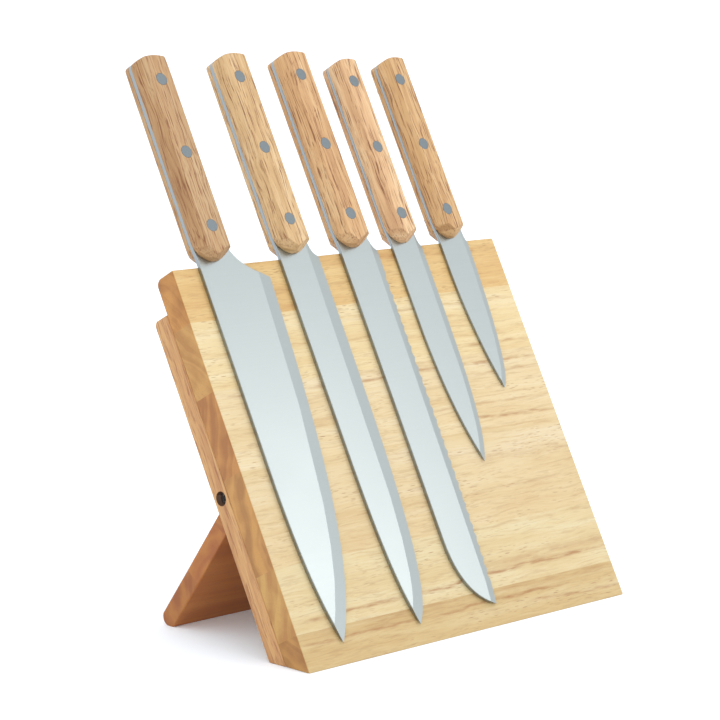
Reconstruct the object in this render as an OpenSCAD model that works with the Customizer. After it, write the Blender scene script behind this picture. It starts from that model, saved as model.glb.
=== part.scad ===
// Folding magnetic knife board with five full-tang knives.
// A leaning board of edge-glued planks stands on its bevelled base and on one folding leg.
// Units are millimetres. +Z is up, +X runs along the board, and the knives face -Y.
// The origin is the middle of the board's bevelled base.

/* [Board] */
// Width of the board, left to right
board_w = 232; // [225:1:290]
// Height of the board's front face, measured along the face
board_h = 211; // [198:1:260]
// Thickness of the planks
board_t = 14.8; // [13:0.1:22]
// Angle that the board leans back from upright
lean = 28; // [20:1:34]
// Radius of the board's rounded top rear corner
top_round = 4; // [1:0.5:6]

/* [Rails] */
// Width of each side rail
rail_w = 10.5; // [9:0.5:16]
// Depth of each side rail behind the board
rail_d = 10.8; // [10:0.1:16]
// How far each rail's top end stays below the board's top
rail_drop = 18; // [8:1:40]
// Radius of each rail's rounded top rear corner
rail_round = 3; // [1:0.5:5]

/* [Leg] */
// Height of the leg's pivot, measured along the board's face
pivot_v = 97; // [85:1:115]
// Angle between the board and the opened leg
leg_open = 65; // [54:1:72]
// Radius of the foot's rounded rear corner
foot_round = 4.5; // [2:0.5:6]

/* [Pivot hardware] */
// Diameter of each pivot screw's shank
pin_d = 4; // [3:0.5:5]
// Diameter of each pivot screw's head
head_d = 6.8; // [6:0.2:8]
// Thickness of each pivot screw's head
head_t = 2.6; // [1.5:0.1:3.5]
// Depth of each counterbore in the rail's outer side
counterbore_depth = 5.4; // [4:0.1:6.5]
// Length of each pivot screw that is driven into the leg
thread_len = 18; // [10:1:30]

/* [Magnets] */
// Length of each block magnet, along the board
magnet_l = 20; // [10:1:30]
// Height of each block magnet
magnet_h = 12; // [8:1:16]
// Thickness of each block magnet
magnet_t = 5; // [3:0.5:6]
// Wood left between the magnets and the board's face
magnet_skin = 2.5; // [1.5:0.5:4]
// Thickness of the steel keeper strip behind each row of magnets
keeper_t = 1.5; // [1:0.5:2.5]

/* [Large knives] */
// Blade length of the chef's knife
chef_len = 203; // [185:1:240]
// Blade width of the chef's knife at its heel
chef_w = 43.8; // [36:0.2:50]
// Blade length of the slicing knife
slicer_len = 203; // [185:1:240]
// Blade width of the slicing knife
slicer_w = 27.1; // [24:0.2:32]
// Blade length of the bread knife
bread_len = 202; // [185:1:240]
// Blade width of the bread knife at its heel
bread_w = 26.9; // [24:0.2:32]
// Thickness of the three long blades
large_blade_t = 2.2; // [1.6:0.1:3]
// Width of the three large handles
large_handle_w = 22.5; // [20:0.5:26]
// Length of the three large handles
large_handle_len = 111; // [105:0.5:130]

/* [Small knives] */
// Blade length of the utility knife
utility_len = 127; // [100:1:150]
// Blade width of the utility knife
utility_w = 22.2; // [19:0.2:27]
// Blade length of the paring knife
paring_len = 89; // [70:1:105]
// Blade width of the paring knife
paring_w = 21.3; // [18:0.2:26]
// Thickness of the two short blades
small_blade_t = 1.8; // [1.4:0.1:2.5]
// Width of the two small handles
small_handle_w = 20; // [18:0.5:24]
// Length of the two small handles
small_handle_len = 106; // [95:0.5:120]

/* [Handles] */
// Thickness of one wooden scale
scale_t = 7.4; // [6:0.1:9]
// Width of the chamfers along each scale
scale_chamfer = 4.6; // [2:0.1:5]
// Diameter of the handle rivets
rivet_d = 6.6; // [4:0.2:7]

/* [Hidden] */
plank_tops = [19.5, 53.5, 104, 146, 182.5, board_h];

// Fits and clearances
pin_clearance = 0.06;      // radial, screw shank in the rail's bore
head_clearance = 0.3;      // radial, screw head in its counterbore
leg_clearance = 0.3;       // leg to the board's back and to the rails' rear faces
stop_gap = 0.05;           // leg's stop face to the board's back when open
washer_t = 0.7;            // one washer on each pivot
washer_gap = 0.1;          // washer to the rail
blade_gap = 0.1;           // blade to the board's face, the coat of oil and lacquer
nose_gap = 2.5;            // handle's nose above the board's top edge
magnet_clearance = 0.1;    // magnets and keepers in their routed channel
channel_margin = 22;       // channel's end to the board's side
magnet_pitch_gap = 4;      // between neighbouring magnets

// Board
base_d = board_t / cos(lean);
rail_top = board_h - rail_drop;
channel_h = magnet_h + 2 * magnet_clearance;
channel_l = board_w - 2 * channel_margin;
lower_channel_v = 78;
upper_channel_v = 164;
magnet_count = floor((channel_l + magnet_pitch_gap) / (magnet_l + magnet_pitch_gap));
keeper_w = magnet_skin + magnet_t;
cover_w = keeper_w + keeper_t;

// Leg, in a frame with its origin on the pivot and hanging along -Z
pivot_w = board_t + rail_d / 2;
pivot_z = pivot_v * cos(lean) - pivot_w * sin(lean);
leg_t = rail_d - 2 * leg_clearance;
leg_w = board_w - 2 * rail_w - 2 * (washer_t + washer_gap);
leg_tilt = leg_open - lean;
stop_r = rail_d / 2 - stop_gap;
stop_start = 180 - acos(leg_t / 2 / stop_r);
stop_top = (stop_r + leg_t / 2 * cos(leg_open)) / sin(leg_open);
foot_front = (leg_t / 2 * sin(leg_tilt) - pivot_z) / cos(leg_tilt);
foot_rear = (-leg_t / 2 * sin(leg_tilt) - pivot_z) / cos(leg_tilt);
leg_joints = [-24, -59];

// Knives, spine to the left: spread over the board between two margins
knife_left_margin = 16.4;
knife_right_margin = 22;
knife_widths = [chef_w, slicer_w, bread_w, utility_w, paring_w];
knife_gap_shares = [0.20, 0.305, 0.22, 0.275];
scale_colours = ["tan", "burlywood", "tan", "sandybrown", "burlywood"];
grind_widths = [7.3, 7, 4.5, 3.8, 3.5];
knife_free = board_w - knife_left_margin - knife_right_margin - sum(knife_widths, 5);
spine_step = 1;            // handle's spine side stands this far outside the blade's
nose_r = 9;                // about the radius that each side of the nose curves to
nose_tip = 1.7;            // the nose comes to a blunt point this far below Z = 0
nose_start = 10;           // the nose starts to curve in at this height
nose_slope = 6;            // depth of the sanded facets on the nose
nose_run = 3.2;            // length of the sanded facets on the nose
nose_facets = [-45, 26];   // directions of the sanded facets, from straight down
rivet_fronts = [15.7, 15.7, 15.7, 13.6, 13.6];
rivet_rear = 14;           // rear rivet to the end of the butt
rivet_offsets = [0.2, 1.6, 1.2, 1.1, 2.4];    // from the handle's middle, towards the spine
butt_rise = 2.5;           // rise of the handle's arched butt
butt_r = 4;                // radius of the butt's two corners
grind_edge = 0.15;         // half thickness left at the cutting edge
grind_runout = 7;          // the grind runs this far past the heel
serration_pitch = 5.9;
serration_depth = 1.2;
serration_tip = 13;        // plain edge at the tip
serration_heel = 16;       // plain edge at the heel
facets = 32;
$fn = 64;

function sum(list, count) = count == 0 ? 0 : list[count - 1] + sum(list, count - 1);
function spine_x(k) = -board_w / 2 + knife_left_margin + sum(knife_widths, k)
    + knife_free * sum(knife_gap_shares, k);
function arc(c, r, a0, a1, n) =
    [for (i = [0:n]) c + r * [cos(a0 + (a1 - a0) * i / n), sin(a0 + (a1 - a0) * i / n)]];
function bezier(p, n) = [for (i = [0:n]) let (t = i / n)
    pow(1 - t, 3) * p[0] + 3 * t * pow(1 - t, 2) * p[1] + 3 * t * t * (1 - t) * p[2] + pow(t, 3) * p[3]];

// Everything fixed to the board: X along it, Y into it, Z up its face
module on_board() {
    translate([0, -base_d / 2, 0]) rotate([-lean, 0, 0]) children();
}

// Everything fixed to the opened leg
module on_leg() {
    on_board() translate([0, pivot_w, pivot_v]) rotate([leg_open, 0, 0]) children();
}

// An outline in (depth, height), drawn across the width w and centred on x
module across(w, x = 0) {
    translate([x - w / 2, 0, 0]) rotate([90, 0, 90]) linear_extrude(w) children();
}

// ---------- Board ----------

// The board's outline in side view: bevelled base, rounded top rear corner
module board_side() {
    polygon(concat(
        [[0, 0], [board_t, board_t * tan(lean)]],
        arc([board_t - top_round, board_h - top_round], top_round, 0, 90, 8),
        [[0, board_h]]
    ));
}

module channel(v) {
    translate([-channel_l / 2, magnet_skin, v - channel_h / 2]) cube([channel_l, board_t, channel_h]);
}

module plank(i) {
    low = i == 0 ? -1 : plank_tops[i - 1];
    on_board() difference() {
        across(board_w) intersection() {
            board_side();
            translate([-1, low]) square([board_t + 2, plank_tops[i] - low]);
        }
        if (i == 2) channel(lower_channel_v);
        if (i == 4) channel(upper_channel_v);
    }
}

module magnets(v) {
    span = magnet_count * magnet_l + (magnet_count - 1) * magnet_pitch_gap;
    color("dimgray") on_board() for (i = [0:magnet_count - 1])
        translate([-span / 2 + i * (magnet_l + magnet_pitch_gap), magnet_skin, v - magnet_h / 2])
            cube([magnet_l, magnet_t, magnet_h]);
}

module keeper(v) {
    color("silver") on_board()
        translate([-channel_l / 2 + magnet_clearance, keeper_w, v - magnet_h / 2])
            cube([channel_l - 2 * magnet_clearance, keeper_t, magnet_h]);
}

module channel_cover(v) {
    color("burlywood") on_board()
        translate([-channel_l / 2, cover_w, v - channel_h / 2])
            cube([channel_l, board_t - cover_w, channel_h]);
}

module plank_1() { color("wheat") plank(0); }
module plank_2() { color("moccasin") plank(1); }
module plank_3() { color("wheat") plank(2); }
module plank_4() { color("moccasin") plank(3); }
module plank_5() { color("wheat") plank(4); }
module plank_6() { color("burlywood") plank(5); }
module lower_magnets() { magnets(lower_channel_v); }
module upper_magnets() { magnets(upper_channel_v); }
module lower_keeper() { keeper(lower_channel_v); }
module upper_keeper() { keeper(upper_channel_v); }
module lower_channel_cover() { channel_cover(lower_channel_v); }
module upper_channel_cover() { channel_cover(upper_channel_v); }

// ---------- Rails ----------

module rail_side() {
    polygon(concat(
        [[board_t, board_t * tan(lean)], [board_t + rail_d, (board_t + rail_d) * tan(lean)]],
        arc([board_t + rail_d - rail_round, rail_top - rail_round], rail_round, 0, 90, 8),
        [[board_t, rail_top]]
    ));
}

// Right-hand rail; its outer side is at +board_w / 2
module rail() {
    difference() {
        across(rail_w, board_w / 2 - rail_w / 2) rail_side();
        translate([0, pivot_w, pivot_v]) rotate([0, 90, 0])
            cylinder(d = pin_d + 2 * pin_clearance, h = board_w);
        translate([board_w / 2 - counterbore_depth, pivot_w, pivot_v]) rotate([0, 90, 0])
            cylinder(d = head_d + 2 * head_clearance, h = counterbore_depth + 1);
    }
}

module right_rail() { color("peru") on_board() rail(); }
module left_rail() { color("peru") on_board() mirror([1, 0, 0]) rail(); }

// ---------- Leg ----------

// The leg's outline in side view: stop face at the top, foot cut to lie on the floor
module leg_side() {
    h = leg_t / 2;
    inner = (90 - leg_tilt) / 2;
    run = foot_round / tan(inner);
    centre = [h - foot_round, foot_rear + run];
    polygon(concat(
        [[-h, foot_front]],
        arc(centre, foot_round, -90 - leg_tilt, 0, 10),
        [[h, stop_top]],
        arc([0, 0], stop_r, 180 - leg_open, stop_start, 8)
    ));
}

module leg_plank(i) {
    top = i == 0 ? stop_top + 1 : leg_joints[i - 1];
    low = i == len(leg_joints) ? foot_rear - 1 : leg_joints[i];
    color(i == 1 ? "tan" : "burlywood") on_leg() difference() {
        across(leg_w) intersection() {
            leg_side();
            translate([-leg_t, low]) square([2 * leg_t, top - low]);
        }
        if (i == 0) for (s = [-1, 1])
            translate([s * (leg_w / 2 - thread_len), 0, 0]) rotate([0, s * 90, 0])
                cylinder(d = pin_d, h = thread_len + 1);
    }
}

module leg_plank_1() { leg_plank(0); }
module leg_plank_2() { leg_plank(1); }
module leg_plank_3() { leg_plank(2); }

// One screw on the right side: recessed hex-socket head, shank turning in the rail
module pivot_screw() {
    head_x = board_w / 2 - counterbore_depth;
    socket_t = head_t * 0.6;
    difference() {
        union() {
            translate([head_x, 0, 0]) rotate([0, 90, 0]) cylinder(d = head_d, h = head_t);
            translate([leg_w / 2 - thread_len, 0, 0]) rotate([0, 90, 0])
                cylinder(d = pin_d, h = head_x - leg_w / 2 + thread_len + head_t / 2);
        }
        translate([head_x + head_t - socket_t, 0, 0]) rotate([0, 90, 0])
            cylinder(d = pin_d * 0.8, h = head_t, $fn = 6);
    }
}

module pivot_screws() {
    color("silver") on_leg() {
        pivot_screw();
        mirror([1, 0, 0]) pivot_screw();
    }
}

module pivot_washers() {
    color("silver") on_leg() for (s = [-1, 1])
        translate([s * leg_w / 2, 0, 0]) rotate([0, s * 90, 0]) difference() {
            cylinder(d = pin_d + 5, h = washer_t);
            translate([0, 0, -1]) cylinder(d = pin_d + 2 * pin_clearance, h = washer_t + 2);
        }
}

// ---------- Knives ----------
// A knife's own frame: X from spine to edge, Y into the board, Z up, nose of the handle at Z = 0

module place_knife(k) {
    on_board() translate([spine_x(k), -blade_gap - blade_t(k) / 2, board_h + nose_gap]) children();
}

function blade_t(k) = k < 3 ? large_blade_t : small_blade_t;
function handle_w(k) = k < 3 ? large_handle_w : small_handle_w;
function handle_len(k) = k < 3 ? large_handle_len : small_handle_len;

// Cutting edges, from the tip up to the heel
chef_edge = bezier([[10, -chef_len], [chef_w - 12.8, 32 - chef_len],
    [chef_w - 3.3, 85 - chef_len], [chef_w, -12]], facets);
slicer_edge = bezier([[9, -slicer_len], [slicer_w - 2.1, 18 - slicer_len],
    [slicer_w, 75 - slicer_len], [slicer_w, -3.5]], facets);
bread_line = bezier([[bread_w - 5, -bread_len], [bread_w - 1.6, 18 - bread_len],
    [bread_w - 0.6, 80 - bread_len], [bread_w, -3.5]], facets);
utility_edge = bezier([[11.5, -utility_len], [utility_w - 0.5, 18 - utility_len],
    [utility_w, 60 - utility_len], [utility_w, -3.5]], facets);
paring_edge = bezier([[9.3, -paring_len], [paring_w - 3.3, 6.5 - paring_len],
    [paring_w, 55 - paring_len], [paring_w, -3.5]], facets);

// The bread knife's scallops are cut into its straight edge line, between two plain ends
function line_x(line, z) = lookup(z, [for (p = line) [p[1], p[0]]]);
serration_count = floor((bread_len - serration_tip - serration_heel) / serration_pitch);
bread_edge = concat(
    [[bread_line[0][0], -bread_len], [line_x(bread_line, 1 - bread_len), 1 - bread_len]],
    [for (i = [0:6 * serration_count]) let (z = serration_tip - bread_len + i * serration_pitch / 6)
        [line_x(bread_line, z) - serration_depth * sin(180 * (i % 6) / 6), z]],
    [bread_line[facets]]
);

// Spines, from the tip up to where they run straight
chef_spine = bezier([[10, -chef_len], [3.9, 17 - chef_len], [0, 45 - chef_len], [0, 90 - chef_len]], 16);
slicer_spine = bezier([[9, -slicer_len], [2.1, 16 - slicer_len], [0, 49 - slicer_len],
    [0, 95 - slicer_len]], 16);
bread_spine = bezier([[bread_w - 5, -bread_len], [bread_w - 11, 1.5 - bread_len], [0, 9 - bread_len],
    [0, 38 - bread_len]], 16);
utility_spine = bezier([[11.5, -utility_len], [4, 20 - utility_len], [0, 48 - utility_len],
    [0, 80 - utility_len]], 16);
paring_spine = bezier([[9.3, -paring_len], [4.3, 15 - paring_len], [0, 45 - paring_len],
    [0, 70 - paring_len]], 16);

function knife_edge(k) = [chef_edge, slicer_edge, bread_edge, utility_edge, paring_edge][k];
function knife_spine(k) = [chef_spine, slicer_spine, bread_spine, utility_spine, paring_spine][k];
function grind_curve(k) = let (curve = k == 2 ? bread_line : knife_edge(k))
    concat(curve, [curve[len(curve) - 1] + [0, grind_runout]]);

// Neck: the heel's back edge sweeps up into the handle's edge side
function neck_curve(heel, side) = let (dx = heel[0] - side[0])
    bezier([heel, heel + [-0.6 * dx, 0.25 * dx], [side[0], side[1] - 10], side], 10);

// Full outline of a knife's steel: edge, neck, tang, and back down the spine
module steel_outline(k) {
    edge = knife_edge(k);
    side = [handle_w(k) - spine_step, nose_start];
    spine = knife_spine(k);
    polygon(concat(
        edge,
        neck_curve(edge[len(edge) - 1], side),
        handle_butt(handle_w(k), handle_len(k)),
        [[-spine_step, nose_start], [0, 0]],
        [for (i = [len(spine) - 1:-1:1]) spine[i]]
    ));
}

// The butt's arch from the edge side over to the spine side
function handle_butt(hw, hl) = let (
    r = (hw * hw / 4 + butt_rise * butt_rise) / (2 * butt_rise),
    centre = [hw / 2 - spine_step, hl - r],
    corner = [hw - spine_step - butt_r, hl - r + sqrt(pow(r - butt_r, 2) - pow(hw / 2 - butt_r, 2))],
    a = atan2(corner[1] - centre[1], corner[0] - centre[0]))
    concat(
        arc(corner, butt_r, 0, a, 5),
        arc(centre, r, a + 4, 176 - a, 10),
        arc([2 * centre[0] - corner[0], corner[1]], butt_r, 180 - a, 180, 5)
    );

// One side of the nose, from its blunt point up to the handle's side at x
function nose_side(middle, x) = let (out = sign(x - middle)) bezier([
    [middle, -nose_tip], [middle + 5.5 * out, 0], [x, 3], [x, nose_start]], 10);

module handle_outline(hw, hl) {
    middle = hw / 2 - spine_step;
    left = nose_side(middle, -spine_step);
    polygon(concat(
        nose_side(middle, hw - spine_step),
        handle_butt(hw, hl),
        [for (i = [len(left) - 1:-1:1]) left[i]]
    ));
}

// Wedge that is cut away to grind the front of a blade, along its edge from tip past heel
module grind(k) {
    curve = grind_curve(k);
    n = len(curve);
    half = blade_t(k) / 2;
    slope = (half - grind_edge) / grind_widths[k];
    out = 3;
    function dir(i) = let (d = curve[min(i + 1, n - 1)] - curve[max(i - 1, 0)]) d / norm(d);
    function side(i) = [dir(i)[1], -dir(i)[0]];
    function ring(q, p) = [
        [q[0], -half, q[1]],
        [q[0], -half - 1, q[1]],
        [p[0], -half - 1, p[1]],
        [p[0], slope * out - grind_edge, p[1]]
    ];
    polyhedron(
        [for (i = [0:n - 1]) each ring(curve[i] - side(i) * grind_widths[k], curve[i] + side(i) * out)],
        concat(
            [[0, 1, 2, 3]],
            [for (i = [0:n - 2], j = [0:3]) let (a = 4 * i + j, b = 4 * i + (j + 1) % 4) each
                [[a, a + 4, b + 4], [a, b + 4, b]]],
            [[4 * n - 1, 4 * n - 2, 4 * n - 3, 4 * n - 4]]
        ),
        convexity = 4
    );
}

module rivet_row(k, h) {
    pitch = (handle_len(k) - rivet_fronts[k] - rivet_rear) / 2;
    for (i = [0:2])
        translate([handle_w(k) / 2 - spine_step - rivet_offsets[k], h / 2, rivet_fronts[k] + i * pitch])
            rotate([90, 0, 0]) cylinder(d = rivet_d, h = h);
}

module blade(k) {
    color("lightsteelblue") place_knife(k) difference() {
        translate([0, blade_t(k) / 2, 0]) rotate([90, 0, 0]) linear_extrude(blade_t(k)) steel_outline(k);
        grind(k);
        mirror([0, 1, 0]) grind(k);
        rivet_row(k, blade_t(k) + 2);
    }
}

// A scale lying flat: outline, long chamfers, and three sanded facets round the nose
module scale_blank(hw, hl) {
    right = hw - spine_step;
    intersection() {
        linear_extrude(scale_t) handle_outline(hw, hl);
        translate([0, hl + 1, 0]) rotate([90, 0, 0]) linear_extrude(hl + 2) polygon([
            [-spine_step, 0], [right, 0],
            [right, scale_t - scale_chamfer], [right - scale_chamfer, scale_t],
            [scale_chamfer - spine_step, scale_t], [-spine_step, scale_t - scale_chamfer]
        ]);
    }
}

module nose_facet(a, hw) {
    centre = [a < 0 ? nose_r - spine_step : hw - spine_step - nose_r, nose_r];
    touch = centre + nose_r * [sin(a), -cos(a)];
    translate([touch[0], touch[1], scale_t - nose_slope]) rotate([atan2(nose_slope, nose_run), 0, a])
        translate([-hw, -hw, 0]) cube([2 * hw, 2 * hw, hw]);
}

module scale_body(k) {
    difference() {
        translate([0, -blade_t(k) / 2, 0]) rotate([90, 0, 0]) difference() {
            scale_blank(handle_w(k), handle_len(k));
            for (a = nose_facets) nose_facet(a, handle_w(k));
        }
        rivet_row(k, blade_t(k) + 2 * scale_t + 2);
    }
}

module front_scale(k) { color(scale_colours[k]) place_knife(k) scale_body(k); }
module rear_scale(k) { color(scale_colours[k]) place_knife(k) mirror([0, 1, 0]) scale_body(k); }
module rivets(k) { color("gray") place_knife(k) rivet_row(k, blade_t(k) + 2 * scale_t); }

module chef_blade() { blade(0); }
module chef_front_scale() { front_scale(0); }
module chef_rear_scale() { rear_scale(0); }
module chef_rivets() { rivets(0); }
module slicer_blade() { blade(1); }
module slicer_front_scale() { front_scale(1); }
module slicer_rear_scale() { rear_scale(1); }
module slicer_rivets() { rivets(1); }
module bread_blade() { blade(2); }
module bread_front_scale() { front_scale(2); }
module bread_rear_scale() { rear_scale(2); }
module bread_rivets() { rivets(2); }
module utility_blade() { blade(3); }
module utility_front_scale() { front_scale(3); }
module utility_rear_scale() { rear_scale(3); }
module utility_rivets() { rivets(3); }
module paring_blade() { blade(4); }
module paring_front_scale() { front_scale(4); }
module paring_rear_scale() { rear_scale(4); }
module paring_rivets() { rivets(4); }

plank_1();
plank_2();
plank_3();
plank_4();
plank_5();
plank_6();
lower_magnets();
upper_magnets();
lower_keeper();
upper_keeper();
lower_channel_cover();
upper_channel_cover();
left_rail();
right_rail();
leg_plank_1();
leg_plank_2();
leg_plank_3();
pivot_screws();
pivot_washers();
chef_blade();
chef_front_scale();
chef_rear_scale();
chef_rivets();
slicer_blade();
slicer_front_scale();
slicer_rear_scale();
slicer_rivets();
bread_blade();
bread_front_scale();
bread_rear_scale();
bread_rivets();
utility_blade();
utility_front_scale();
utility_rear_scale();
utility_rivets();
paring_blade();
paring_front_scale();
paring_rear_scale();
paring_rivets();
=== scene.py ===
# A folding magnetic knife board: six edge-glued rubberwood planks with two side rails and one
# folding leg behind, and five full-tang knives held flat on the face by hidden magnets.
# Metres throughout. +Z is up, +X runs along the board, and the knives face -Y.
import math
import bmesh
import bpy
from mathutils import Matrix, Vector


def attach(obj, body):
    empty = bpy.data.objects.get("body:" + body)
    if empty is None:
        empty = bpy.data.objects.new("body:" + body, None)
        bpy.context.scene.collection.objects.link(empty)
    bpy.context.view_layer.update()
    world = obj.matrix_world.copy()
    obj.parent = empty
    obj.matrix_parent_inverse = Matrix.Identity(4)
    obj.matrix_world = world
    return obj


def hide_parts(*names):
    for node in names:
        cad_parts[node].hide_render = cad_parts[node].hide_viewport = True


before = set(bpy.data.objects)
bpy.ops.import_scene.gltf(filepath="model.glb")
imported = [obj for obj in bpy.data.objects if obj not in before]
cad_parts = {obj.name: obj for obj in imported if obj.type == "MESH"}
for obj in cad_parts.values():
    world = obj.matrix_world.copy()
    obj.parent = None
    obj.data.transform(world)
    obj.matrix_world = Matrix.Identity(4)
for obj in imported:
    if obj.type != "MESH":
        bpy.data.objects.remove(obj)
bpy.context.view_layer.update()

scene = bpy.context.scene

# ---------- Camera ----------
# A long lens at table height, off to the left of the board and looking slightly down.
CAMERA_PLACE = (-0.9276, -0.8828, 0.3285)
CAMERA_TURN = 44.029       # degrees from straight into the board, towards the right
CAMERA_DIP = 8.423         # degrees below level
CAMERA_LENS = 128.43       # millimetres, on a 36 mm sensor

camera_data = bpy.data.cameras.new("camera")
camera_data.sensor_width = 36
camera_data.lens = CAMERA_LENS
camera = bpy.data.objects.new("camera", camera_data)
camera.location = CAMERA_PLACE
camera.rotation_euler = (math.radians(90 - CAMERA_DIP), 0, math.radians(-CAMERA_TURN))
scene.collection.objects.link(camera)
scene.camera = camera

# ---------- Studio ----------
# A white floor lit from all around, with a soft box overhead and a tall one in front, to the
# right. The tall one is what the satin blades mirror towards their tips.
FLOOR_RADIUS = 30.0
PAPER_WHITE = "F1F6FB"
PAPER_GLOW = 0.13          # light of the paper's own, which keeps the floor near white
ROOM_WHITE = "FAFCFF"
ROOM_STRENGTH = 1.30


def linear(code):
    """An sRGB hex colour as linear RGBA."""
    channels = [int(code[i:i + 2], 16) / 255 for i in (0, 2, 4)]
    return [c / 12.92 if c <= 0.04045 else ((c + 0.055) / 1.055) ** 2.4 for c in channels] + [1]


def add_node(tree, kind, links=None, stops=None, **settings):
    """Adds a node. Links give each named or numbered input a value or another node's socket."""
    node = tree.nodes.new("ShaderNode" + kind)
    for key, value in settings.items():
        setattr(node, key, value)
    for key, value in (links or {}).items():
        if isinstance(value, bpy.types.NodeSocket):
            tree.links.new(value, node.inputs[key])
        else:
            node.inputs[key].default_value = value
    if stops:
        ramp = node.color_ramp.elements
        while len(ramp) < len(stops):
            ramp.new(0.5)
        for element, (place, code) in zip(ramp, stops):
            element.position = place
            element.color = linear(code)
    return node


def soft_box(name, place, target, width, height, watts):
    """A white rectangular area light that faces a point."""
    light = bpy.data.lights.new(name, "AREA")
    light.shape = "RECTANGLE"
    light.size = width
    light.size_y = height
    light.energy = watts
    box = bpy.data.objects.new(name, light)
    box.location = place
    box.rotation_euler = (Vector(target) - Vector(place)).to_track_quat("-Z", "Y").to_euler()
    scene.collection.objects.link(box)


scene.view_settings.view_transform = "Standard"
world = bpy.data.worlds.new("white_room")
world.use_nodes = True
room = world.node_tree.nodes["Background"]
room.inputs["Color"].default_value = linear(ROOM_WHITE)
room.inputs["Strength"].default_value = ROOM_STRENGTH
scene.world = world
soft_box("overhead_box", (0.35, -0.55, 1.9), (0, 0.05, 0.1), width=1.6, height=1.6, watts=6)
soft_box("front_box", (1.17, -1.27, 0.89), (0, 0, 0.10), width=0.5, height=0.72, watts=3.1)

floor_mesh = bpy.data.meshes.new("floor")
disc = bmesh.new()
bmesh.ops.create_circle(disc, cap_ends=True, segments=96, radius=FLOOR_RADIUS)
disc.to_mesh(floor_mesh)
disc.free()
floor = bpy.data.objects.new("floor", floor_mesh)
scene.collection.objects.link(floor)
paper = bpy.data.materials.new("matt_white_paper")
paper.use_nodes = True
paper_shader = paper.node_tree.nodes["Principled BSDF"]
paper_shader.inputs["Roughness"].default_value = 0.9
paper_shader.inputs["Specular IOR Level"].default_value = 0.2
paper_shader.inputs["Base Color"].default_value = linear(PAPER_WHITE)
paper_shader.inputs["Emission Color"].default_value = linear(PAPER_WHITE)
paper_shader.inputs["Emission Strength"].default_value = PAPER_GLOW
floor_mesh.materials.append(paper)

# ---------- Board ----------
# Six planks of rubberwood, edge-glued with their grain running across the board, planed flush,
# eased along the outer edges and given a thin satin oil. Each plank came from another log.
MM = 0.001
LEAN = math.radians(28)    # the board leans back by this much
BOARD_THICK = 14.8 * MM
GLUE_LINES = [19.5, 53.5, 104, 146, 182.5]   # heights along the face, in millimetres
GLUE_SLACK = 0.4           # an edge this near to a glue line, in millimetres, lies in it
BOARD_EASE = 0.9 * MM      # radius of the sanded edges
SLIVER = 0.003 * MM        # anything smaller than this is collapsed
SKEW_LINE = Vector((1, 0.6180, 0.3777))
board_up = Vector((0, math.sin(LEAN), math.cos(LEAN)))
board_out = Vector((0, -math.cos(LEAN), math.sin(LEAN)))
face_foot = Vector((0, -BOARD_THICK / 2 / math.cos(LEAN), 0))   # where the face meets the floor


def drop_slivers(shape):
    """Collapses zero-area faces and removes the loose edges that they leave."""
    bmesh.ops.dissolve_degenerate(shape, dist=SLIVER, edges=shape.edges)
    bmesh.ops.delete(shape, geom=[e for e in shape.edges if not e.link_faces], context="EDGES")


def cad_copy(node, join=0.002 * MM):
    """A bmesh of a CAD node with its loose triangles joined into one closed skin."""
    shape = bmesh.new()
    shape.from_mesh(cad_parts[node].data)
    bmesh.ops.remove_doubles(shape, verts=shape.verts, dist=join)
    drop_slivers(shape)
    bmesh.ops.dissolve_limit(shape, angle_limit=math.radians(0.5), verts=shape.verts,
                             edges=shape.edges, delimit={"NORMAL"})
    return shape


def ease(shape, edges, radius, segments=3):
    """Rounds the given edges."""
    bmesh.ops.bevel(shape, geom=edges, offset=radius, offset_type="OFFSET", affect="EDGES",
                    segments=segments, profile=0.5, material=-1, clamp_overlap=False)


def corner_edges(shape, angle, keep=lambda edge: True):
    """The edges that turn by more than an angle in degrees, for which keep says yes."""
    return [e for e in shape.edges if e.calc_face_angle(0) > math.radians(angle) and keep(e)]


def finish_piece(shape, name, material, body, node, smooth=30):
    """Makes a bmesh the piece that stands for a CAD node, smooth up to an angle in degrees."""
    drop_slivers(shape)
    # a bevel leaves its faces in no fixed order, so they are put in order along a skew line
    shape.faces.sort(key=lambda face: face.calc_center_median().dot(SKEW_LINE))
    mesh = bpy.data.meshes.new(name)
    shape.to_mesh(mesh)
    shape.free()
    mesh.shade_smooth()
    mesh.set_sharp_from_angle(angle=math.radians(smooth))
    mesh.materials.append(material)
    piece = bpy.data.objects.new(name, mesh)
    scene.collection.objects.link(piece)
    weighted = piece.modifiers.new("even_normals", "WEIGHTED_NORMAL")
    weighted.keep_sharp = True
    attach(piece, body)
    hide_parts(node)
    return piece


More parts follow.
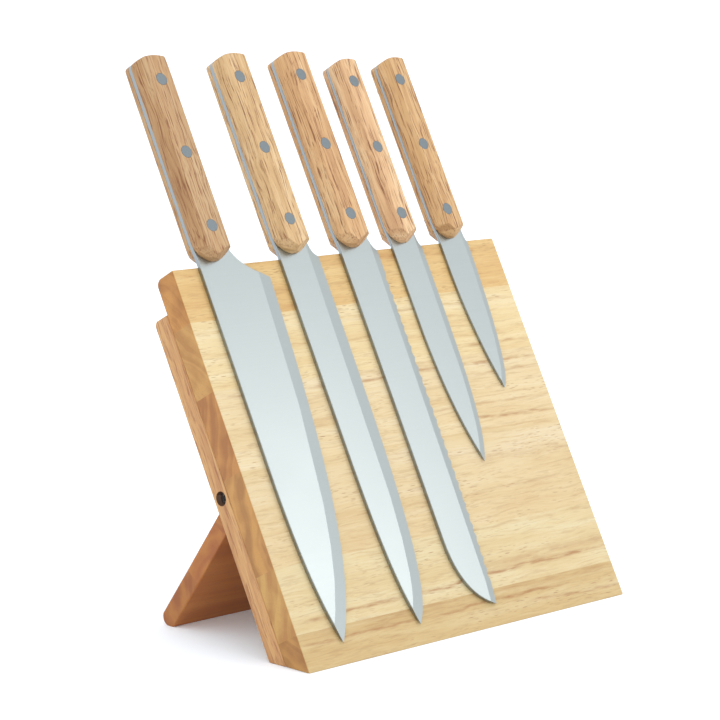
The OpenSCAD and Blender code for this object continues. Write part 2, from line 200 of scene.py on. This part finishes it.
def oiled_wood(name, turn, seed, face, end, pith, ring_mm=5.0, dash=(9.0, 0.8), dash_depth=0.6,
               dash_code="8A5A2C", lines=(), gloss=0.42, streaks=0.0, streak_mm=(30.0, 1.1)):
    """Open-pored hardwood, sawn, planed and oiled: soft growth rings, short open pores that
    show as brown dashes along the grain and as dots on the end grain, and darker end grain.
    The turn brings the grain to X. Sizes are in millimetres: ring_mm from ring to ring, and
    dash and streak_mm length and width. The face takes three colours and the end two, dark to
    light; pith is the log's middle. Each dark line is (height, slope, strength, from x, to x,
    half width)."""
    material = bpy.data.materials.new(name)
    material.use_nodes = True
    tree = material.node_tree
    shader = tree.nodes["Principled BSDF"]
    place = add_node(tree, "TexCoord")
    grain = add_node(tree, "Mapping", {"Vector": place.outputs["Object"], "Rotation": turn,
                                       "Scale": (1000, 1000, 1000)})
    facing = add_node(tree, "Mapping", {"Vector": place.outputs["Normal"], "Rotation": turn},
                      vector_type="VECTOR")
    shifted = add_node(tree, "VectorMath", {0: grain.outputs[0], 1: seed}, operation="ADD")
    # the grain is a little wavy, every 22 mm or so: the fibres wander 1 mm from straight
    wave_space = add_node(tree, "VectorMath", {0: grain.outputs[0], 1: (1 / 22, 1 / 9, 1 / 9)},
                          operation="MULTIPLY")
    waves = add_node(tree, "TexNoise", {"Vector": wave_space.outputs[0], "Scale": 1.0,
                                        "Detail": 1.0})
    wavy = add_node(tree, "VectorMath", {0: waves.outputs["Color"], 1: (0, 3, 3),
                                         2: shifted.outputs[0]}, operation="MULTIPLY_ADD")
    # growth rings: noise over the distance from the log's middle, bent by up to 8 mm
    bend = add_node(tree, "VectorMath", {0: shifted.outputs[0], 1: (0.006, 0.03, 0.03)},
                    operation="MULTIPLY")
    wander = add_node(tree, "TexNoise", {"Vector": bend.outputs[0], "Scale": 1.0, "Detail": 2.0})
    across = add_node(tree, "VectorMath", {0: grain.outputs[0], 1: (0, 1, 1),
                                           2: (0, -pith[0], -pith[1])}, operation="MULTIPLY_ADD")
    radius = add_node(tree, "VectorMath", {0: across.outputs[0]}, operation="LENGTH")
    bent = add_node(tree, "Math", {0: wander.outputs[0], 1: 16.0, 2: radius.outputs["Value"]},
                    operation="MULTIPLY_ADD")
    ring_place = add_node(tree, "Math", {0: bent.outputs[0], 1: 1 / ring_mm},
                          operation="MULTIPLY")
    rings = add_node(tree, "TexNoise", {"W": ring_place.outputs[0], "Scale": 1.0, "Detail": 3.0,
                                        "Roughness": 0.55}, noise_dimensions="1D")
    # fibres 0.7 mm apart and 40 mm long, and wider clouds of tone
    fibre_space = add_node(tree, "VectorMath", {0: wavy.outputs[0], 1: (1 / 28, 1.4, 1.4)},
                           operation="MULTIPLY")
    fibres = add_node(tree, "TexNoise", {"Vector": fibre_space.outputs[0], "Scale": 1.0,
                                         "Detail": 3.0, "Roughness": 0.6})
    cloud_space = add_node(tree, "VectorMath", {0: shifted.outputs[0], 1: (1 / 90, 1 / 11, 1 / 11)},
                           operation="MULTIPLY")
    clouds = add_node(tree, "TexNoise", {"Vector": cloud_space.outputs[0], "Scale": 1.0,
                                         "Detail": 2.0})
    ring_fibre = add_node(tree, "Mix", {"Factor": 0.55, "A": rings.outputs[0],
                                        "B": fibres.outputs[0]}, data_type="FLOAT")
    tone = add_node(tree, "Mix", {"Factor": 0.38, "A": ring_fibre.outputs[0],
                                  "B": clouds.outputs[0]}, data_type="FLOAT")
    face_colour = add_node(tree, "ValToRGB", {0: tone.outputs[0]},
                           stops=[(0.28, face[0]), (0.50, face[1]), (0.68, face[2])])
    end_tone = add_node(tree, "Mix", {"Factor": 0.55, "A": rings.outputs[0],
                                      "B": clouds.outputs[0]}, data_type="FLOAT")
    end_colour = add_node(tree, "ValToRGB", {0: end_tone.outputs[0]},
                          stops=[(0.39, end[0]), (0.60, end[1])])
    # pores, drawn about twice their real 0.3 mm width so that they show
    pore_space = add_node(tree, "VectorMath", {0: wavy.outputs[0],
                                               1: (1 / dash[0], 1 / dash[1], 1 / dash[1])},
                          operation="MULTIPLY")
    pore_cells = add_node(tree, "TexVoronoi", {"Vector": pore_space.outputs[0], "Scale": 1.0})
    pore_spots = add_node(tree, "MapRange", {0: pore_cells.outputs["Distance"], 1: 0.13, 2: 0.30,
                                             3: 1.0, 4: 0.0}, interpolation_type="SMOOTHSTEP")
    pore_zone = add_node(tree, "MapRange", {0: clouds.outputs[0], 1: 0.46, 2: 0.64,
                                            3: 0.10, 4: 1.0})
    pores = add_node(tree, "Math", {0: pore_spots.outputs[0], 1: pore_zone.outputs[0]},
                     operation="MULTIPLY")
    # open grain: broken dark streaks where the saw cut along the vessels, weak on end grain
    streak_space = add_node(tree, "VectorMath", {0: wavy.outputs[0],
                                                 1: (1 / streak_mm[0], 1 / streak_mm[1],
                                                     1 / streak_mm[1])}, operation="MULTIPLY")
    streak_noise = add_node(tree, "TexNoise", {"Vector": streak_space.outputs[0], "Scale": 1.0,
                                               "Detail": 3.0, "Roughness": 0.65})
    streak = add_node(tree, "MapRange", {0: streak_noise.outputs[0], 1: 0.50, 2: 0.66, 3: 0.0,
                                         4: streaks}, interpolation_type="SMOOTHSTEP")
    # end grain: surfaces that face along the fibres
    along = add_node(tree, "SeparateXYZ", {0: facing.outputs[0]})
    size = add_node(tree, "Math", {0: along.outputs[0]}, operation="ABSOLUTE")
    end_part = add_node(tree, "MapRange", {0: size.outputs[0], 1: 0.45, 2: 0.85, 3: 0.0, 4: 1.0},
                        interpolation_type="SMOOTHSTEP")
    colour = add_node(tree, "Mix", {"Factor": end_part.outputs[0],
                                    "A": face_colour.outputs[0], "B": end_colour.outputs[0]},
                      data_type="RGBA")
    # the few strong dark lines where a ring boundary runs out at the surface
    spot = add_node(tree, "SeparateXYZ", {0: grain.outputs[0]})
    for height, slope, strength, start, stop, half in lines:
        wave = add_node(tree, "TexNoise", {"W": spot.outputs["X"], "Scale": 0.03, "Detail": 2.0},
                        noise_dimensions="1D")
        rise = add_node(tree, "Math", {0: spot.outputs["X"], 1: slope, 2: height - 2.5},
                        operation="MULTIPLY_ADD")
        middle = add_node(tree, "Math", {0: wave.outputs[0], 1: 5.0, 2: rise.outputs[0]},
                          operation="MULTIPLY_ADD")
        gap = add_node(tree, "Math", {0: spot.outputs["Z"], 1: middle.outputs[0]},
                       operation="SUBTRACT")
        near = add_node(tree, "Math", {0: gap.outputs[0]}, operation="ABSOLUTE")
        core = add_node(tree, "MapRange", {0: near.outputs[0], 1: 0.1, 2: half, 3: 1.0, 4: 0.0},
                        interpolation_type="SMOOTHSTEP")
        broken_space = add_node(tree, "VectorMath", {0: shifted.outputs[0], 1: (0.09, 0.6, 0.6)},
                                operation="MULTIPLY")
        broken = add_node(tree, "TexNoise", {"Vector": broken_space.outputs[0], "Scale": 1.0,
                                             "Detail": 3.0})
        patches = add_node(tree, "MapRange", {0: broken.outputs[0], 1: 0.38, 2: 0.62,
                                              3: 0.15, 4: 1.0})
        begins = add_node(tree, "MapRange", {0: spot.outputs["X"], 1: start, 2: start + 18,
                                             3: 0.0, 4: strength})
        ends = add_node(tree, "MapRange", {0: spot.outputs["X"], 1: stop - 18, 2: stop,
                                           3: 1.0, 4: 0.0})
        reach = add_node(tree, "Math", {0: begins.outputs[0], 1: ends.outputs[0]},
                         operation="MULTIPLY")
        drawn = add_node(tree, "Math", {0: core.outputs[0], 1: patches.outputs[0]},
                         operation="MULTIPLY")
        line = add_node(tree, "Math", {0: drawn.outputs[0], 1: reach.outputs[0]},
                        operation="MULTIPLY")
        colour = add_node(tree, "Mix", {"Factor": line.outputs[0],
                                        "A": colour.outputs[2], "B": linear("96602A")},
                          data_type="RGBA")
    # the pores and streaks go over all of it
    side_streak = add_node(tree, "MapRange", {0: end_part.outputs[0], 1: 0.0, 2: 1.0, 3: 1.0,
                                              4: 0.25})
    dark = add_node(tree, "Math", {0: streak.outputs[0], 1: side_streak.outputs[0]},
                    operation="MULTIPLY")
    pore_mix = add_node(tree, "Math", {0: pores.outputs[0], 1: dash_depth, 2: dark.outputs[0]},
                        operation="MULTIPLY_ADD", use_clamp=True)
    surface = add_node(tree, "Mix", {"Factor": pore_mix.outputs[0], "A": colour.outputs[2],
                                     "B": linear(dash_code)}, data_type="RGBA")
    tree.links.new(surface.outputs[2], shader.inputs["Base Color"])
    # the oil leaves some fibres duller, and the pores stay open as shallow hollows
    dull = add_node(tree, "MapRange", {0: fibres.outputs[0], 1: 0.3, 2: 0.7,
                                       3: gloss, 4: gloss + 0.14})
    tree.links.new(dull.outputs[0], shader.inputs["Roughness"])
    hollow = add_node(tree, "Math", {0: pores.outputs[0], 1: -1.0, 2: fibres.outputs[0]},
                      operation="MULTIPLY_ADD")
    relief = add_node(tree, "Bump", {"Height": hollow.outputs[0], "Strength": 0.35,
                                     "Distance": 0.12 * MM})
    tree.links.new(relief.outputs[0], shader.inputs["Normal"])
    shader.inputs["IOR"].default_value = 1.5
    return material


BOARD_TURN = (LEAN, 0, 0)  # lays the grain across the board
# colours of each plank's face, dark to light, and of its end grain; plank_1 is at the bottom
plank_tones = [("AD8A52", "BFA470", "C8B389"), ("BEA06B", "CAB587", "D1C39E"),
               ("BD9E6B", "CBB386", "D1BF9C"), ("C2A370", "CFB88C", "D6C6A4"),
               ("C6A670", "D2BB8B", "D8C8A2"), ("B6864A", "C9A66B", "D4B982")]
plank_ends = [("93612B", "B1803E"), ("A57339", "BB904D"), ("9C6A32", "B98644"),
              ("99612B", "B27A3C"), ("A57338", "B98A49"), ("996225", "B9813D")]
# where each log's middle lay, across the grain, in millimetres
plank_piths = [(46, -38), (60, 66), (-70, 58), (52, 150), (-64, 212), (40, 160)]
# the dark lines of each plank, as oiled_wood takes them
plank_lines = [[(9.5, 0.0, 0.7, -120, 75, 1.5), (6, -0.03, 0.5, 40, 125, 1.5),
                (15, 0.0, 0.3, -120, 120, 6.0)],
               [(23, 0.02, 0.75, -118, 120, 1.6), (27, 0.02, 0.28, 10, 125, 6.0),
                (47, 0.01, 0.3, -60, 120, 1.2)],
               [(66, 0.02, 0.22, -20, 125, 1.6), (84, -0.01, 0.2, 30, 125, 5.0)],
               [(107.5, -0.02, 0.65, 40, 120, 1.4), (114, 0.0, 0.4, 20, 120, 1.2),
                (130, 0.01, 0.45, 50, 125, 1.6), (137, 0.0, 0.6, -60, 120, 1.6),
                (138, 0.0, 0.35, -120, -80, 2.0)],
               [(147.5, 0.0, 0.5, 55, 120, 1.4), (160, 0.0, 0.3, -120, 20, 1.4),
                (171, 0.01, 0.3, -20, 120, 1.6)],
               [(192, 0.03, 0.35, -90, 40, 2.4), (203, -0.02, 0.4, -20, 120, 2.5)]]


def in_glue_plane(edge):
    """Whether an edge lies in one of the board's glue lines, which are planed flush."""
    heights = [(v.co - face_foot).dot(board_up) / MM for v in edge.verts]
    return any(all(abs(h - line) < GLUE_SLACK for h in heights) for line in GLUE_LINES)


for i in range(6):
    board_wood = oiled_wood(f"oiled_rubberwood_plank_{i + 1}", BOARD_TURN,
                            (137.0 * i + 11, 53.0 * i, 91.0 * i), plank_tones[i], plank_ends[i],
                            plank_piths[i], ring_mm=4.5 + 0.6 * (i % 3), lines=plank_lines[i],
                            streaks=0.2, streak_mm=(18.0, 1.2))
    plank = cad_copy(f"plank_{i + 1}")
    ease(plank, corner_edges(plank, 50, lambda edge: not in_glue_plane(edge)), BOARD_EASE)
    finish_piece(plank, f"board_plank_{i + 1}", board_wood, "stand",
                 f"plank_{i + 1}")

# Two strips of the same wood close the magnets' channels in the board's back.
for i, name in enumerate(["lower_channel_cover", "upper_channel_cover"]):
    strip = cad_copy(name)
    strip_wood = oiled_wood(f"oiled_rubberwood_{name}", BOARD_TURN, (400.0 + 77 * i, 31, 64),
                            plank_tones[5], plank_ends[5], (50, 120), ring_mm=5)
    finish_piece(strip, f"{name}_strip", strip_wood, "stand", name)

# ---------- Magnets ----------
# Nickel-plated block magnets in two rows behind a thin skin of wood, each row backed by a
# strip of mild steel. They are glued in and out of sight.


def metal(name, code, roughness, grit_mm, relief_mm, wear):
    """Metal with a fine even grit, plated, ground or rolled, its colour mixed with a worn one."""
    material = bpy.data.materials.new(name)
    material.use_nodes = True
    tree = material.node_tree
    shader = tree.nodes["Principled BSDF"]
    shader.inputs["Metallic"].default_value = 1.0
    place = add_node(tree, "TexCoord")
    grit = add_node(tree, "TexNoise", {"Vector": place.outputs["Object"],
                                       "Scale": 1000 / grit_mm, "Detail": 3.0})
    tint = add_node(tree, "Mix", {"Factor": grit.outputs[0], "A": linear(code),
                                  "B": linear(wear)}, data_type="RGBA")
    tree.links.new(tint.outputs[2], shader.inputs["Base Color"])
    dull = add_node(tree, "MapRange", {0: grit.outputs[0], 1: 0.3, 2: 0.7,
                                       3: roughness - 0.05, 4: roughness + 0.07})
    tree.links.new(dull.outputs[0], shader.inputs["Roughness"])
    relief = add_node(tree, "Bump", {"Height": grit.outputs[0], "Strength": 0.3,
                                     "Distance": relief_mm * MM})
    tree.links.new(relief.outputs[0], shader.inputs["Normal"])
    return material


nickel = metal("nickel_plated_magnet", "B7B4AA", roughness=0.24, grit_mm=1.5, relief_mm=0.02,
               wear="A4A096")
mild_steel = metal("rolled_mild_steel_keeper", "9A9A9A", roughness=0.42, grit_mm=0.9,
                   relief_mm=0.03, wear="83817E")
zinc = metal("zinc_plated_screw_steel", "A0A2A2", roughness=0.20, grit_mm=0.6, relief_mm=0.02,
             wear="8A8D8E")
for node, finish in [("lower_magnets", nickel), ("upper_magnets", nickel),
                     ("lower_keeper", mild_steel), ("upper_keeper", mild_steel),
                     ("pivot_washers", zinc)]:
    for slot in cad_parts[node].material_slots:
        slot.material = finish

# ---------- Rails ----------
# A rail of redder rubberwood down each side of the back, its grain running up the board, glued
# on. It carries the leg's pivot in a counterbored hole, whose wall is painted dark brown as the
# shade inside the hole.
UPWARD_GRAIN = (LEAN, math.radians(90), 0)   # turns the grain to run up the board
RAIL_TONES = ["985E32", "C0905A", "CEA76C"]
RAIL_ENDS = ("8D5832", "A47142")
# dark browns for the bore's wall: painted shade inside the counterbored hole
BORE_SHADE_TONES = ["4A2C18", "5E3A20", "6E4628"]
RAIL_EASE = 0.7 * MM
pivot = face_foot + 97 * MM * board_up - 20.2 * MM * board_out   # 97 up, 20.2 behind the face
BORE_REACH = 4.3 * MM      # the holes' walls are nearer than this to the pivot's axis
for i, side in enumerate(["left", "right"]):
    rail_wood = oiled_wood(f"oiled_red_rubberwood_{side}_rail", UPWARD_GRAIN, (60.0 * i, 17, 205),
                           RAIL_TONES, RAIL_ENDS, (60, 20), ring_mm=3.2, dash=(9.0, 1.0),
                           dash_depth=0.75, dash_code="7E3A20", streaks=0.55,
                           streak_mm=(16.0, 1.3))
    bore_shade_wood = oiled_wood(f"painted_shade_bore_{side}_rail", UPWARD_GRAIN, (60.0 * i, 17, 205),
                           BORE_SHADE_TONES, BORE_SHADE_TONES[:2], (60, 20), ring_mm=3.2)
    rail = cad_copy(f"{side}_rail")
    ease(rail, corner_edges(rail, 50, lambda edge: edge.calc_length() > 4 * MM), RAIL_EASE)
    # the faces of the hole's wall take the second material, the painted shade
    for face in rail.faces:
        if all((v.co - pivot).yz.length < BORE_REACH for v in face.verts):
            face.material_index = 1
    piece = finish_piece(rail, f"{side}_rail_wood", rail_wood, "stand",
                         f"{side}_rail")
    piece.data.materials.append(bore_shade_wood)

# ---------- Leg ----------
# Three edge-glued planks hung between the rails on two recessed screws. The top edge is cut
# so that it stops against the board's back, and the foot is rounded behind.
LEG_TURN = (LEAN - math.radians(65), 0, 0)   # the leg stands 65 degrees from the board
LEG_EASE = 0.7 * MM
LEG_TONES = ["965020", "AA6227", "B87433"]
leg_up = Vector((0, math.sin(LEG_TURN[0]), math.cos(LEG_TURN[0])))
leg_ends = [("904E15", "A76826"), ("975319", "A96926"), ("8E4D16", "A46522")]
leg_spans = []
for i in range(3):
    heights = [v.co.dot(leg_up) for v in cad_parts[f"leg_plank_{i + 1}"].data.vertices]
    leg_spans.append((min(heights), max(heights)))
leg_joints = sorted(max(span) for span in leg_spans)[:2]


def in_leg_joint(edge):
    """Whether an edge lies in one of the leg's two glue lines."""
    return any(all(abs(v.co.dot(leg_up) - joint) < GLUE_SLACK * MM for v in edge.verts)
               for joint in leg_joints)


for i in range(3):
    leg_wood = oiled_wood(f"oiled_rubberwood_leg_{i + 1}", LEG_TURN, (88.0 * i, 140, 33.0 * i),
                          LEG_TONES, leg_ends[i], (40 - 90 * (i % 2), -60 + 30 * i), ring_mm=5.5)
    leg_plank = cad_copy(f"leg_plank_{i + 1}")
    outer_edges = corner_edges(leg_plank, 50, lambda edge: edge.calc_length() > 8 * MM
                               and not in_leg_joint(edge))
    ease(leg_plank, outer_edges, LEG_EASE)
    finish_piece(leg_plank, f"leg_plank_{i + 1}_wood", leg_wood, "leg",
                 f"leg_plank_{i + 1}")

screws = cad_copy("pivot_screws")
finish_piece(screws, "pivot_screw_pair", zinc, "leg", "pivot_screws")

# ---------- Knives ----------
# Full-tang knives: the blade and the tang are one piece of satin stainless steel, ground to a
# bevel along the edge. Two wooden scales are riveted to the tang with three steel pins.
SATIN = "9FA6A4"
SATIN_LIGHT = "A4AAA9"
SPINE_SHADE = "9BA1A3"           # the narrow sides: spine, heel and tang edges, a little darker as painted shade along the spine
BLADE_EASE = 0.35 * MM
PIN_EASE = 0.15 * MM
BUTT_EASE = 1.2 * MM       # the rim of each handle's butt end is rounded most
BUTT_DEPTH = 5.3 * MM      # how far down the handle that rim reaches
SCALE_EASE = {"chef": 0.25 * MM, "slicer": 0.25 * MM, "bread": 0.25 * MM,
              "utility": 0.2 * MM, "paring": 0.15 * MM}


def satin_steel(name):
    """Stainless steel, belt-ground across the blade: a soft satin that blurs what it mirrors.
    The narrow sides, which face away from the board's face or back, take a darker colour: painted
    shade along the spine."""
    material = bpy.data.materials.new(name)
    material.use_nodes = True
    tree = material.node_tree
    shader = tree.nodes["Principled BSDF"]
    shader.inputs["Metallic"].default_value = 1.0
    place = add_node(tree, "TexCoord")
    grain = add_node(tree, "Mapping", {"Vector": place.outputs["Object"], "Rotation": (LEAN, 0, 0),
                                       "Scale": (1000 / 30, 1000 / 0.5, 1000 / 0.5)})
    # belt lines, drawn 0.5 mm apart where the real ones are finer than can be seen
    belt = add_node(tree, "TexNoise", {"Vector": grain.outputs[0], "Scale": 1.0, "Detail": 4.0})
    cloud = add_node(tree, "TexNoise", {"Vector": place.outputs["Object"], "Scale": 22.0,
                                        "Detail": 2.0})
    tint = add_node(tree, "Mix", {"Factor": belt.outputs[0], "A": linear(SATIN),
                                  "B": linear(SATIN_LIGHT)}, data_type="RGBA")
    flat = add_node(tree, "VectorMath", {0: place.outputs["Normal"], 1: board_out},
                    operation="DOT_PRODUCT")
    facing = add_node(tree, "Math", {0: flat.outputs["Value"]}, operation="ABSOLUTE")
    # painted shade: the narrow sides are darkened towards the spine's shade colour
    spine_shade_mask = add_node(tree, "MapRange", {0: facing.outputs[0], 1: 0.55, 2: 0.85, 3: 1.0, 4: 0.0})
    colour = add_node(tree, "Mix", {"Factor": spine_shade_mask.outputs[0], "A": tint.outputs[2],
                                    "B": linear(SPINE_SHADE)}, data_type="RGBA")
    tree.links.new(colour.outputs[2], shader.inputs["Base Color"])
    both = add_node(tree, "Mix", {"Factor": 0.5, "A": belt.outputs[0], "B": cloud.outputs[0]},
                    data_type="FLOAT")
    dull = add_node(tree, "MapRange", {0: both.outputs[0], 1: 0.3, 2: 0.7, 3: 0.29, 4: 0.33})
    tree.links.new(dull.outputs[0], shader.inputs["Roughness"])
    relief = add_node(tree, "Bump", {"Height": belt.outputs[0], "Strength": 0.04,
                                     "Distance": 0.02 * MM})
    tree.links.new(relief.outputs[0], shader.inputs["Normal"])
    return material


KNIVES = ["chef", "slicer", "bread", "utility", "paring"]
handle_tones = {
    "chef": ["8C6238", "AE875B", "BEA37B"],
    "slicer": ["9E7844", "C6A272", "D9BF96"],
    "bread": ["9C6A3E", "C59B6A", "D8BC91"],
    "utility": ["9D6841", "D0A87A", "E2CBA5"],
    "paring": ["976A3C", "C19865", "D0B084"],
}
steel = satin_steel("belt_ground_satin_stainless")
pin_steel = metal("flush_ground_steel_pin", "7E8689", roughness=0.40, grit_mm=0.5,
                  relief_mm=0.02, wear="6A7276")


def on_flat(edge):
    """Whether an edge borders a blade's flat side and an upright side."""
    leans = sorted(abs(face.normal.dot(board_out)) for face in edge.link_faces)
    return len(leans) == 2 and leans[0] < 0.3 and leans[1] > 0.9995


def butt_rim(scale, outward):
    """The edges around the outer side of a handle's butt end."""
    end = max(vert.co.dot(board_up) for vert in scale.verts)
    return [edge for edge in corner_edges(scale, 24)
            if min(vert.co.dot(board_up) for vert in edge.verts) > end - BUTT_DEPTH
            and max(face.normal.dot(outward) for face in edge.link_faces) > 0.5]


for i, name in enumerate(KNIVES):
    body = f"{name}_knife"
    tones = handle_tones[name]
    blade = cad_copy(f"{name}_blade")
    ease(blade, [edge for edge in blade.edges if on_flat(edge)], BLADE_EASE)
    finish_piece(blade, f"{name}_steel", steel, body, f"{name}_blade", smooth=5)
    for j, (side, outward) in enumerate([("front", board_out), ("rear", -board_out)]):
        scale_wood = oiled_wood(f"oiled_oak_{name}_{side}_scale", UPWARD_GRAIN,
                                (300.0 * i + 40 * j, 21.0 * i + 9 * j, 47.0 * i),
                                tones, tones[:2], (26 + 4 * i, 30.0 - 40 * i), ring_mm=2.6,
                                dash=(12.0, 1.1), dash_depth=0.5, dash_code="743F1B", gloss=0.5,
                                streaks=0.85, streak_mm=(24.0, 0.8))
        scale = cad_copy(f"{name}_{side}_scale", join=0.2 * MM)
        ease(scale, butt_rim(scale, outward), BUTT_EASE, segments=4)
        drop_slivers(scale)
        ease(scale, corner_edges(scale, 24), SCALE_EASE[name], segments=2)
        finish_piece(scale, f"{name}_{side}_scale_wood", scale_wood, body,
                     f"{name}_{side}_scale")
    pins = cad_copy(f"{name}_rivets")
    ease(pins, corner_edges(pins, 60), PIN_EASE, segments=2)
    finish_piece(pins, f"{name}_pins", pin_steel, body, f"{name}_rivets")
